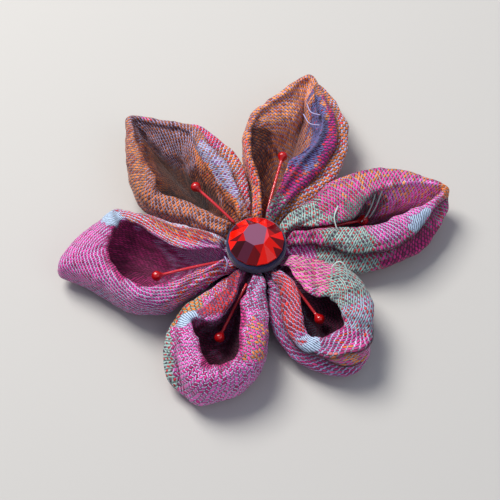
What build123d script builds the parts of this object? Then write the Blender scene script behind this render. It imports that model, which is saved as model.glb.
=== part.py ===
from build123d import *

import os
from math import cos, hypot, radians, sin

# Cloth flower hairpin: six folded petals, a cut glass stone, stamens, felt backing and a steel hair pin.
# The origin is on the flower's axis, on the surface that the flower lies on. +Z is up, the top petal points
# to +Y and the right petal to +X. Sizes are in millimetres.

# Driving dimensions
CLOTH = 1.6
LIP_THICKNESS = 1.9
DISC_RADIUS = 11.0
DISC_THICKNESS = 1.5
SEAT_RADIUS = 6.3
SEAT_TOP = 9.35
STONE_RADIUS = 5.8
STONE_TOP = 12.7
STEM_RADIUS = 0.3
BEAD_RADIUS = 1.1
BEAD_LENGTH = 2.7
STRIP_WIDTH = 1.8
STRIP_THICKNESS = 1.2
PRONG_SPACING = 8.0
PIN_HEADING = 72.0
PIN_PRONG_REACH = 36.0
PIN_BEND_REACH = 14.0
PAD_RADIUS = 7.0
GAP = 0.3

# Heights that follow from them
DISC_BOTTOM = STRIP_THICKNESS + GAP
DISC_TOP = DISC_BOTTOM + DISC_THICKNESS
OVER_DISC = DISC_TOP + GAP
OVER_PIN = STRIP_THICKNESS + 0.5
SEAT_BOTTOM = 6.9
UNDER_SEAT = SEAT_BOTTOM - 0.4
SEAT_SLOPE = 3.0

# Mesh of a petal: stations around its rim, and steps across the cloth from the pocket floor to the keel
AROUND = 42
ACROSS = 20

# A petal's rim, a row for each section in turn: from the base along one side to the tip and back along the
# other. x, y, up: the crest of the rim. facing: compass angle of its outer side. lip: reach from the crest
# to the mouth. belly: where the pocket wall stands inside the crest at mid height. brim, drop: the outer
# edge of the upper layer, out from the crest and below it. hem, hem_up: the second layer's edge, out from
# the crest and its height. floor: plan of the pocket's keel, from the base to the outer end.
COLUMNS = ("x", "y", "up", "facing", "lip", "belly", "brim", "drop", "hem", "hem_up")
PETALS = {
    "petal_top": {
        "floor": ((1.6, 5.2), (4.2, 17.0), (9.6, 28.5)),
        "rim": (
            (1.1, 3.0, 5.6, 250, 0.4, 0.5, 0.6, 1.0, 0.8, 4.6),
            (0.6, 8.2, 8.6, 172, 0.6, 0.4, 1.1, 1.8, 1.3, 5.0),
            (0.3, 14.4, 10.0, 180, 0.8, 1.4, 1.0, 2.0, 1.0, 5.0),
            (-1.5, 20.2, 11.8, 180, 0.8, 1.8, 1.0, 2.5, 1.1, 5.0),
            (-1.7, 26.8, 12.0, 178, 0.8, 4.5, 1.0, 2.5, 1.1, 5.0),
            (0.5, 32.3, 11.5, 150, 0.8, 5.5, 1.1, 2.5, 1.0, 5.0),
            (6.2, 38.0, 10.4, 130, 0.8, 5.0, 1.1, 2.3, 1.0, 5.0),
            (11.8, 43.3, 9.0, 80, 0.7, 5.0, 1.3, 2.0, 1.2, 5.0),
            (14.3, 36.6, 10.5, 20, 0.6, 2.0, 1.0, 1.2, 3.6, 7.3),
            (15.8, 30.2, 11.5, 8, 1.5, 2.2, 1.7, 1.5, 4.3, 8.0),
            (14.5, 24.2, 11.3, 355, 2.6, 1.5, 2.8, 2.0, 5.3, 7.8),
            (10.5, 19.1, 10.5, 335, 3.3, 1.0, 3.3, 2.0, 6.3, 7.0),
            (6.4, 13.4, 9.3, 328, 2.0, 0.6, 2.2, 1.6, 4.6, 6.2),
            (3.4, 8.8, 8.8, 335, 0.9, 0.3, 1.2, 1.6, 2.3, 5.0),
        ),
    },
    "petal_upper_left": {
        "floor": ((-3.0, 4.8), (-11.0, 12.8), (-18.0, 21.0)),
        "rim": (
            (-2.0, 2.5, 5.6, 308, 0.4, 0.5, 0.6, 1.0, 0.8, 4.6),
            (-6.4, 5.0, 8.6, 225, 1.0, 0.5, 2.2, 2.0, 2.2, 5.0),
            (-14.0, 7.9, 9.5, 250, 2.0, 0.8, 2.0, 2.5, 1.9, 5.0),
            (-21.4, 10.6, 10.5, 238, 2.0, 0.8, 1.8, 3.0, 1.6, 5.0),
            (-24.2, 15.4, 11.0, 192, 3.0, 0.3, 2.6, 3.5, 2.2, 5.0),
            (-26.2, 22.5, 10.8, 182, 1.3, 2.5, 2.0, 3.0, 1.8, 5.0),
            (-27.4, 29.3, 9.6, 178, 0.8, 2.0, 1.1, 2.0, 1.0, 4.5),
            (-27.0, 32.4, 8.8, 128, 0.7, 3.5, 1.2, 2.0, 1.0, 4.5),
            (-20.2, 30.2, 10.0, 85, 0.8, 4.0, 1.1, 2.0, 1.1, 5.0),
            (-14.2, 27.8, 11.0, 60, 1.0, 4.5, 1.4, 2.0, 3.0, 8.0),
            (-11.0, 21.9, 11.5, 42, 1.8, 4.0, 2.2, 1.8, 5.4, 8.2),
            (-7.8, 17.8, 10.8, 27, 2.0, 3.0, 2.4, 2.0, 5.5, 7.5),
            (-5.6, 12.9, 9.6, 22, 1.6, 1.6, 1.9, 1.6, 4.5, 6.6),
            (-3.2, 8.4, 8.8, 20, 1.0, 0.5, 1.3, 1.6, 2.2, 5.2),
        ),
    },
    "petal_left": {
        "floor": ((-5.0, -1.6), (-15.0, -3.6), (-25.0, -2.6)),
        "rim": (
            (-3.2, -0.6, 5.6, 8, 0.4, 0.5, 0.6, 1.0, 0.8, 4.6),
            (-7.2, -4.0, 8.6, 250, 0.8, 0.4, 2.3, 1.8, 2.5, 5.0),
            (-12.0, -7.5, 9.5, 250, 1.5, 0.5, 2.9, 3.0, 2.9, 5.0),
            (-17.3, -11.4, 10.8, 250, 2.2, 0.0, 2.9, 3.5, 2.4, 4.5),
            (-23.4, -12.8, 11.0, 252, 1.8, 0.0, 1.8, 4.0, 1.2, 4.0),
            (-28.6, -8.8, 10.8, 204, 1.3, -0.5, 3.2, 5.8, 2.6, 2.5),
            (-30.8, -5.2, 11.0, 193, 1.2, -3.0, 6.4, 6.5, 5.6, 2.5),
            (-31.6, -2.4, 11.0, 189, 1.2, -6.0, 10.2, 7.0, 9.0, 2.5),
            (-31.4, 0.4, 11.0, 166, 1.2, -3.5, 6.9, 6.0, 6.0, 3.0),
            (-30.5, 3.2, 10.8, 140, 1.2, -1.2, 4.2, 4.5, 3.5, 3.0),
            (-28.5, 6.0, 10.3, 116, 1.2, 1.0, 2.6, 2.4, 2.2, 4.5),
            (-24.2, 5.5, 10.3, 98, 2.0, 1.2, 1.8, 1.8, 1.5, 5.0),
            (-17.5, 2.8, 10.2, 102, 4.3, 0.8, 2.7, 2.0, 2.4, 5.0),
            (-8.8, 1.0, 9.0, 105, 1.8, 0.5, 2.2, 1.8, 2.2, 5.0),
        ),
    },
    "petal_lower_left": {
        "floor": ((-2.0, -6.2), (-4.6, -16.0), (-7.5, -24.0)),
        "rim": (
            (-1.0, -3.0, 5.6, 71, 0.4, 0.5, 0.6, 1.0, 0.8, 4.6),
            (-0.5, -7.8, 8.8, 350, 0.4, 0.4, 2.2, 2.0, 2.2, 5.0),
            (-0.8, -14.0, 9.8, 350, 2.2, 1.0, 3.0, 2.5, 2.8, 5.0),
            (-0.7, -20.7, 11.0, 0, 2.6, 1.0, 3.0, 3.0, 2.8, 5.0),
            (-1.6, -26.5, 11.0, 345, 2.2, 1.5, 2.8, 3.5, 2.6, 4.5),
            (-4.8, -29.2, 10.8, 322, 1.8, 0.8, 3.2, 4.5, 2.6, 3.0),
            (-8.0, -30.0, 10.8, 277, 1.5, -0.8, 3.5, 5.5, 2.8, 2.5),
            (-10.3, -29.2, 10.6, 239, 1.5, -1.8, 4.9, 6.6, 4.2, 2.2),
            (-12.0, -26.4, 11.0, 195, 1.4, -1.2, 4.0, 4.0, 6.4, 3.8),
            (-13.4, -22.5, 11.0, 184, 1.7, -0.2, 2.9, 3.0, 5.4, 5.0),
            (-13.6, -18.0, 10.3, 150, 0.8, 0.6, 1.7, 2.0, 3.8, 6.0),
            (-9.3, -16.5, 10.4, 120, 2.4, 0.6, 2.0, 1.8, 5.6, 7.0),
            (-5.2, -12.1, 9.2, 132, 1.1, 0.4, 1.7, 1.6, 4.9, 6.3),
            (-3.5, -7.6, 8.7, 160, 0.4, 0.3, 1.4, 1.6, 3.2, 5.0),
        ),
    },
    "petal_lower_right": {
        "floor": ((4.3, -4.8), (10.5, -13.0), (13.8, -18.0)),
        "rim": (
            (2.2, -2.4, 5.6, 131, 0.4, 0.5, 0.6, 1.0, 0.8, 4.6),
            (7.6, -4.2, 8.8, 60, 1.6, 0.5, 2.2, 1.8, 2.4, 5.0),
            (12.2, -7.6, 10.0, 73, 4.6, 1.2, 4.0, 2.5, 3.6, 5.0),
            (17.8, -9.8, 10.8, 50, 4.6, 1.2, 3.9, 3.0, 3.5, 5.0),
            (20.5, -15.4, 11.0, 5, 3.8, 1.0, 3.5, 3.0, 3.2, 5.0),
            (20.0, -19.7, 10.5, 345, 2.4, 1.2, 3.2, 3.2, 2.9, 4.5),
            (18.0, -22.0, 10.0, 330, 2.4, -0.8, 5.2, 4.0, 4.8, 3.5),
            (15.0, -22.8, 9.8, 319, 1.6, -1.5, 5.6, 3.6, 6.6, 3.5),
            (12.9, -23.5, 9.6, 280, 1.4, 0.2, 2.0, 2.0, 3.8, 4.0),
            (9.2, -21.8, 9.4, 222, 1.5, 0.2, 1.6, 1.9, 2.9, 4.0),
            (7.1, -17.1, 10.0, 183, 2.2, 0.6, 2.0, 2.0, 4.3, 6.0),
            (7.0, -13.2, 10.0, 183, 1.9, 0.6, 2.0, 2.0, 4.5, 6.3),
            (6.2, -9.6, 9.5, 190, 2.0, 0.4, 1.8, 1.7, 4.2, 6.0),
            (4.8, -7.0, 8.8, 200, 1.2, 0.3, 1.4, 1.6, 2.6, 5.0),
        ),
    },
    "petal_right": {
        "floor": ((5.4, 3.4), (16.0, 5.4), (28.0, 9.3)),
        "rim": (
            (3.1, 1.1, 5.6, 199, 0.4, 0.5, 0.6, 1.0, 0.8, 4.6),
            (7.2, 5.5, 8.7, 125, 1.4, 0.6, 1.8, 1.8, 1.8, 5.0),
            (13.0, 8.1, 9.8, 125, 4.4, 0.8, 3.4, 2.5, 3.0, 5.0),
            (18.6, 10.9, 11.0, 112, 5.8, 1.2, 5.2, 3.0, 4.6, 5.0),
            (24.2, 14.2, 11.5, 95, 3.8, 2.5, 3.8, 3.0, 3.4, 5.0),
            (30.0, 15.4, 11.0, 88, 2.0, 4.0, 2.4, 2.2, 2.0, 5.0),
            (36.8, 15.1, 9.8, 70, 0.9, 1.5, 1.4, 2.0, 1.2, 5.0),
            (40.4, 13.7, 8.8, 10, 0.8, 2.2, 0.9, 2.0, 0.9, 5.5),
            (37.6, 10.0, 9.6, 325, 0.7, 1.2, 1.0, 1.2, 3.2, 5.5),
            (32.8, 5.3, 10.5, 312, 2.4, 1.5, 2.2, 2.0, 4.6, 5.0),
            (27.0, 1.2, 10.8, 293, 3.3, 0.8, 2.3, 3.0, 4.0, 5.0),
            (20.8, 0.2, 10.4, 273, 3.4, 0.6, 1.8, 2.4, 4.5, 4.8),
            (13.8, 1.7, 9.7, 270, 2.3, 0.4, 1.5, 1.6, 4.6, 5.4),
            (8.0, 2.0, 8.9, 270, 1.0, 0.3, 1.4, 1.6, 3.1, 5.0),
        ),
    },
}


# Each stamen from its foot in the petal's base to the middle of its bead
STAMENS = {
    "stamen_top": ((2.3, 9.2, 6.3), (5.8, 23.3, 6.6)),
    "stamen_right": ((7.2, 3.6, 6.1), (22.9, 8.1, 5.0)),
    "stamen_lower_right": ((6.2, -6.2, 6.2), (13.0, -15.6, 4.75)),
    "stamen_lower_left": ((-2.0, -8.4, 6.6), (-7.5, -20.3, 5.8)),
    "stamen_left": ((-7.6, -2.5, 5.6), (-20.6, -7.0, 7.6)),
    "stamen_upper_left": ((-4.6, 7.0, 5.6), (-12.9, 14.6, 7.9)),
}

# Cut of the stone
STONE_SIDES = 8
TABLE_RADIUS = 2.7
TABLE_TURN = 35.0
GIRDLE_BOTTOM = 9.6
GIRDLE_TOP = 9.95
GIRDLE_SHARE = 11.25
CULET_RADIUS = 0.35
CULET_HEIGHT = 6.3


def glide(a, b, c, d, t):
    """Smooth value between b and c, with a before them and d after."""
    linear = c - a
    square = 2 * a - 5 * b + 4 * c - d
    cube = 3 * b - a - 3 * c + d
    return 0.5 * (2 * b + linear * t + square * t * t + cube * t**3)


def ramp(value, low, high):
    """Smooth step from 0 at low to 1 at high."""
    t = min(1.0, max(0.0, (value - low) / (high - low)))
    return t * t * (3 - 2 * t)


def section(rim, place):
    """The rim's columns at a place that counts rows, with facing as a unit direction."""
    first = int(place)
    t = place - first
    rows = [rim[(first + step) % len(rim)] for step in (-1, 0, 1, 2)]
    found = {}
    for index, name in enumerate(COLUMNS):
        if name == "facing":
            along = glide(*[cos(radians(row[index])) for row in rows], t)
            side = glide(*[sin(radians(row[index])) for row in rows], t)
            length = hypot(along, side)
            found["out"] = (along / length, side / length)
        else:
            found[name] = glide(*[row[index] for row in rows], t)
    return found


def keel_point(keel, t):
    """Parabola through the keel's base, middle and outer point."""
    weights = (2 * (t - 0.5) * (t - 1), -4 * t * (t - 1), 2 * t * (t - 0.5))
    return tuple(sum(w * point[axis] for w, point in zip(weights, keel)) for axis in (0, 1))


def rest_height(x, y):
    """Lowest height for cloth at a place: over the disc, over the pin, or on the ground."""
    over_disc = OVER_DISC * (1 - ramp(hypot(x, y), DISC_RADIUS + 0.8, DISC_RADIUS + 7.5))
    heading = radians(PIN_HEADING)
    along = x * cos(heading) + y * sin(heading)
    side = abs(y * cos(heading) - x * sin(heading))
    half_width = (PRONG_SPACING + STRIP_WIDTH) / 2
    beside = 1 - ramp(side, half_width + 0.5, half_width + 3.5)
    past_end = max(along - PIN_PRONG_REACH, -PIN_BEND_REACH - along)
    return max(over_disc, OVER_PIN * beside * (1 - ramp(past_end, 0.8, 5.0)))


def pressed(x, y, z):
    """Height kept down where the stone's seat presses the cloth."""
    return min(z, UNDER_SEAT + SEAT_SLOPE * max(0.0, hypot(x, y) - SEAT_RADIUS - 0.5))


def cloth_section(row, keel):
    """Control points across the cloth: pocket floor, wall, lip, crest, brim, second layer and underside."""
    out_x, out_y = row["out"]
    top, lip, brim, hem, low = (row[name] for name in ("up", "lip", "brim", "hem", "hem_up"))
    rest = rest_height(*keel)
    floor = rest + CLOTH
    wall = -row["belly"]
    edge = top - row["drop"]
    depth = max(0.3, top - floor)
    second = max(0.0, hem - brim)
    doubled = min(1.0, second / 0.8)
    tuck = min(1.3, 0.2 + 0.6 * second)
    low = min(low, edge - 0.5 * (1 - doubled))
    under_lip = 0.55 * lip + 0.5 * max(0.0, row["belly"] - lip)

    def at(reach, z, share=1.0):
        x = row["x"] + out_x * reach
        y = row["y"] + out_y * reach
        return (keel[0] + (x - keel[0]) * share, keel[1] + (y - keel[1]) * share, z)

    pocket = [
        (*keel, floor),
        at(wall, floor + 0.02 * depth, 0.3),
        at(wall, floor + 0.14 * depth, 0.75),
        at(wall, floor + min(0.42 * (top - rest), 0.5 * depth)),
    ]
    roll = [
        at(-under_lip, max(top - LIP_THICKNESS, floor + 0.65 * depth)),
        at(-lip, max(top - 1.2, floor + 0.78 * depth)),
        at(-0.95 * lip, max(top - 0.35, floor + 0.92 * depth)),
        at(-0.4 * lip, top + 0.05),
        at(0.4 * brim, top - 0.05 * row["drop"]),
        at(0.92 * brim, top - 0.42 * row["drop"]),
        at(brim, edge),
        at(brim - tuck * doubled, edge - (0.35 + 0.25 * tuck) * doubled),
        at(brim + 0.65 * second - 0.15 * doubled, low + min(0.9, 0.3 + 0.6 * second) * doubled),
    ]
    under = [
        at(hem, low + 0.25),
        at(hem, low - 0.6),
        at(hem - 0.5, low - 0.45 * (low - rest)),
        at(hem - 1.0, rest + 0.14 * (low - rest), 0.72),
        at(hem - 1.0, rest, 0.3),
        (*keel, rest),
    ]
    pocket = [(x, y, max(z, rest_height(x, y) + CLOTH)) for x, y, z in pocket]
    under = [(x, y, max(z, rest_height(x, y))) for x, y, z in under]
    return [(x, y, pressed(x, y, z)) for x, y, z in pocket + roll + under]


def blend_points(weights, points):
    return tuple(sum(w * point[axis] for w, point in zip(weights, points)) for axis in range(3))


def smoothed(points, steps):
    """Quadratic B-spline through the middles of the control polygon, with its ends kept."""
    spans = len(points) - 2
    line = []
    for step in range(steps + 1):
        place = spans * step / steps
        first = min(spans - 1, int(place))
        t = place - first
        before, corner, after = points[first : first + 3]
        start = before if first == 0 else blend_points((0.5, 0.5), (before, corner))
        end = after if first == spans - 1 else blend_points((0.5, 0.5), (corner, after))
        line.append(blend_points(((1 - t) ** 2, 2 * t * (1 - t), t * t), (start, corner, end)))
    return line


def petal_solid(petal):
    """Closed faceted cloth wall. Opposite stations share their points on the keel, inside and underneath."""
    rim = petal["rim"]
    lines = []
    for station in range(AROUND):
        keel = keel_point(petal["floor"], min(station, AROUND - station) / (AROUND / 2))
        row = section(rim, station * len(rim) / AROUND)
        lines.append(smoothed(cloth_section(row, keel), ACROSS))

    def point(station, step):
        station %= AROUND
        if step in (0, ACROSS):
            station = min(station, AROUND - station)
        return lines[station][step]

    faces = []
    for station in range(AROUND):
        for step in range(ACROSS):
            a = point(station, step)
            b = point(station + 1, step)
            c = point(station + 1, step + 1)
            d = point(station, step + 1)
            faces += [facet(*corners) for corners in ((a, b, c), (a, c, d)) if len(set(corners)) == 3]
    return Solid(Shell(faces))


def facet(*corners):
    return Face(Wire.make_polygon([Vector(*corner) for corner in corners], close=True))


def ring(radius, angles, z):
    return [(radius * cos(radians(a)), radius * sin(radians(a)), z) for a in angles]


def stone_solid():
    """Octagonal table, eight main and eight girdle facets on the crown, and as many on the pavilion."""
    corners = [TABLE_TURN + 360 / STONE_SIDES * k for k in range(STONE_SIDES)]
    girdle_angles = [corner + turn for corner in corners for turn in (-GIRDLE_SHARE, GIRDLE_SHARE)]
    table = ring(TABLE_RADIUS, corners, STONE_TOP)
    upper = ring(STONE_RADIUS, girdle_angles, GIRDLE_TOP)
    lower = ring(STONE_RADIUS, girdle_angles, GIRDLE_BOTTOM)
    culet = ring(CULET_RADIUS, corners, CULET_HEIGHT)
    faces = [facet(*table), facet(*culet)]
    count = len(girdle_angles)
    for k in range(STONE_SIDES):
        following = (k + 1) % STONE_SIDES
        left, right, next_left = 2 * k, 2 * k + 1, (2 * k + 2) % count
        for tip, tips, girdle in ((table[k], table, upper), (culet[k], culet, lower)):
            faces.append(facet(tip, girdle[left], girdle[right]))
            faces.append(facet(tip, girdle[right], girdle[next_left], tips[following]))
        for a, b in ((left, right), (right, next_left)):
            faces.append(facet(upper[a], upper[b], lower[b], lower[a]))
    return Solid(Shell(faces))


def seat_solid():
    """Felt pad with a cone hollow for the stone, and a core through the ring of petals to the disc."""
    slope = (STONE_RADIUS - CULET_RADIUS) / (GIRDLE_BOTTOM - CULET_HEIGHT)
    cup_floor = CULET_HEIGHT - GAP
    cup_rim = CULET_RADIUS + slope * (SEAT_TOP - CULET_HEIGHT) + GAP
    core_radius = 1.9
    outline = [
        (0, DISC_TOP + GAP),
        (core_radius, DISC_TOP + GAP),
        (core_radius, SEAT_BOTTOM),
        (SEAT_RADIUS - 0.4, SEAT_BOTTOM),
        (SEAT_RADIUS, SEAT_BOTTOM + 0.5),
        (SEAT_RADIUS, SEAT_TOP - 0.3),
        (SEAT_RADIUS - 0.3, SEAT_TOP),
        (cup_rim, SEAT_TOP),
        (CULET_RADIUS + GAP, cup_floor),
        (0, cup_floor),
    ]
    wire = Wire.make_polygon([Vector(r, 0, z) for r, z in outline], close=True)
    return revolve(Face(wire), Axis.Z)


def stamen_solid(foot, bead):
    """Thin stem that flares into a round bead."""
    foot, bead = Vector(*foot), Vector(*bead)
    middle = (bead - foot).length
    stem = middle + BEAD_RADIUS - BEAD_LENGTH
    flare = radians(40)
    cheek = (BEAD_RADIUS * cos(flare), middle - BEAD_RADIUS * sin(flare))
    tip = (0, middle + BEAD_RADIUS)
    outline = [
        Line((0, 0), (STEM_RADIUS, 0)),
        Line((STEM_RADIUS, 0), (STEM_RADIUS, stem)),
        Line((STEM_RADIUS, stem), cheek),
        ThreePointArc(cheek, (BEAD_RADIUS, middle), tip),
        Line(tip, (0, 0)),
    ]
    upright = revolve(Plane.XZ * make_face(outline), Axis.Z)
    return Plane(origin=foot, z_dir=bead - foot) * upright


def disc_solid():
    disc = Pos(0, 0, DISC_BOTTOM) * Cylinder(
        DISC_RADIUS, DISC_THICKNESS, align=(Align.CENTER, Align.CENTER, Align.MIN)
    )
    return fillet(disc.edges(), 0.3)


def pin_solid():
    """Two flat prongs joined by a round bend, with a round pad that the backing is glued to."""
    half = PRONG_SPACING / 2
    bend_centre = -PIN_BEND_REACH + half + STRIP_WIDTH / 2
    prong_length = PIN_PRONG_REACH - STRIP_WIDTH / 2 - bend_centre
    outline = Sketch()
    for side in (-half, half):
        middle = bend_centre + prong_length / 2
        outline += Pos(middle, side) * Rectangle(prong_length, STRIP_WIDTH)
        outline += Pos(bend_centre + prong_length, side) * Circle(STRIP_WIDTH / 2)
    bend = Circle(half + STRIP_WIDTH / 2) - Circle(half - STRIP_WIDTH / 2)
    bend -= Pos(PRONG_SPACING, 0) * Rectangle(2 * PRONG_SPACING, 4 * PRONG_SPACING)
    outline += Pos(bend_centre, 0) * bend
    outline += Circle(PAD_RADIUS)
    flat = extrude(outline, STRIP_THICKNESS)
    rim = flat.edges().group_by(Axis.Z)[-1]
    return Rot(0, 0, PIN_HEADING) * chamfer(rim, 0.2)


def build():
    parts = {name: petal_solid(petal) for name, petal in PETALS.items()}
    parts["stone"] = stone_solid()
    parts["stone_seat"] = seat_solid()
    for name, (foot, bead) in STAMENS.items():
        parts[name] = stamen_solid(foot, bead)
    parts["backing_disc"] = disc_solid()
    parts["hair_pin"] = pin_solid()
    return parts


os.makedirs("parts", exist_ok=True)
for name, shape in build().items():
    export_step(shape, f"parts/{name}.step")
    print(name, round(shape.volume, 2), "cubic mm")
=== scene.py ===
from functools import partial
from math import cos, pi, radians, sin

import bpy
import numpy as np
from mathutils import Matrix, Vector


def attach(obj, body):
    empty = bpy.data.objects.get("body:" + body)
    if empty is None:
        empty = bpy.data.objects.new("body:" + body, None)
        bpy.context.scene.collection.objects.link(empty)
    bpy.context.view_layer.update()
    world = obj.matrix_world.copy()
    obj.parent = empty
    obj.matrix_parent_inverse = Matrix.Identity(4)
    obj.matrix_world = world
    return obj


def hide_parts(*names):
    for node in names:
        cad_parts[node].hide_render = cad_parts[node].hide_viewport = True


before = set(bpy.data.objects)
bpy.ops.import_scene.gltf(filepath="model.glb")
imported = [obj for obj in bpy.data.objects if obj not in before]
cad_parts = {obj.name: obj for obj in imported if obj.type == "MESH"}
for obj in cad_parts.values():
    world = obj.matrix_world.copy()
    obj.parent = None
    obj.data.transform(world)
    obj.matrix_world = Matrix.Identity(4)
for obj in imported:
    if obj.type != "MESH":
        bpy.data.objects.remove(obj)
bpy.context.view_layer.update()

mm = 0.001
print("frame loaded:", len(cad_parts), "nodes")

# Camera first: looking down at the flower from its lower side, lengths in metres
view = {
    "target": (-0.0013, 0.0001, 0.006),
    "distance": 0.3,
    "elevation": 60,
    "lens": 102.6,
    "sensor": 36,
}


def addCamera(settings):
    data = bpy.data.cameras.new("camera")
    data.lens = settings["lens"]
    data.sensor_width = settings["sensor"]
    data.clip_start = 0.01
    camera = bpy.data.objects.new("camera", data)
    tilt = radians(settings["elevation"])
    reach = Vector((0, -cos(tilt), sin(tilt))) * settings["distance"]
    camera.location = Vector(settings["target"]) + reach
    camera.rotation_euler = (pi / 2 - tilt, 0, 0)
    bpy.context.scene.collection.objects.link(camera)
    bpy.context.scene.camera = camera


addCamera(view)
print("camera placed")


# Colours are written as they look on a screen, from 0 to 1
def linear(colour):
    return [c / 12.92 if c <= 0.04045 else ((c + 0.055) / 1.055) ** 2.4 for c in colour]


def addNode(tree, kind, **links):
    made = tree.nodes.new(kind)
    for name, value in links.items():
        setValue(tree, made.inputs[name.replace("_", " ")], value)
    return made


def setValue(tree, socket, value):
    if isinstance(value, bpy.types.NodeSocket):
        tree.links.new(value, socket)
    elif socket.type == "RGBA":
        socket.default_value = [*linear(value), 1]
    else:
        socket.default_value = value


def doMath(tree, operation, *values):
    made = tree.nodes.new("ShaderNodeMath")
    made.operation = operation
    for socket, value in zip(made.inputs, values):
        setValue(tree, socket, value)
    return made.outputs[0]


def blendColours(tree, share, first, second, how="MIX"):
    made = tree.nodes.new("ShaderNodeMix")
    made.data_type = "RGBA"
    made.blend_type = how
    for socket, value in ((made.inputs[0], share), (made.inputs[6], first), (made.inputs[7], second)):
        setValue(tree, socket, value)
    return made.outputs[2]


def smoothBetween(tree, value, low, high, lowest=0.0, highest=1.0):
    made = tree.nodes.new("ShaderNodeMapRange")
    made.interpolation_type = "SMOOTHSTEP"
    for socket, number in zip(made.inputs, (value, low, high, lowest, highest)):
        setValue(tree, socket, number)
    return made.outputs[0]


def attributeNode(tree, name):
    made = tree.nodes.new("ShaderNodeAttribute")
    made.attribute_name = name
    return made


def newMaterial(name, **settings):
    made = bpy.data.materials.new(name)
    made.use_nodes = True
    tree = made.node_tree
    shader = tree.nodes["Principled BSDF"]
    for key, value in settings.items():
        setValue(tree, shader.inputs[key.replace("_", " ")], value)
    return made, tree, shader


def addBump(tree, shader, height, depth, strength=1.0):
    bump = addNode(tree, "ShaderNodeBump", Height=height, Distance=depth, Strength=strength)
    tree.links.new(bump.outputs[0], shader.inputs["Normal"])


def meshPiece(name, points, faces, material, smooth=True):
    mesh = bpy.data.meshes.new(name)
    mesh.from_pydata([tuple(p) for p in points], [], [tuple(f) for f in faces])
    mesh.materials.append(material)
    mesh.polygons.foreach_set("use_smooth", [smooth] * len(mesh.polygons))
    mesh.update()
    piece = bpy.data.objects.new(name, mesh)
    bpy.context.scene.collection.objects.link(piece)
    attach(piece, "root")
    return piece


def paint(piece, name, domain, colours):
    layer = piece.data.attributes.new(name, "FLOAT_COLOR", domain)
    layer.data.foreach_set("color", np.asarray(colours, np.float32).ravel())


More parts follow.
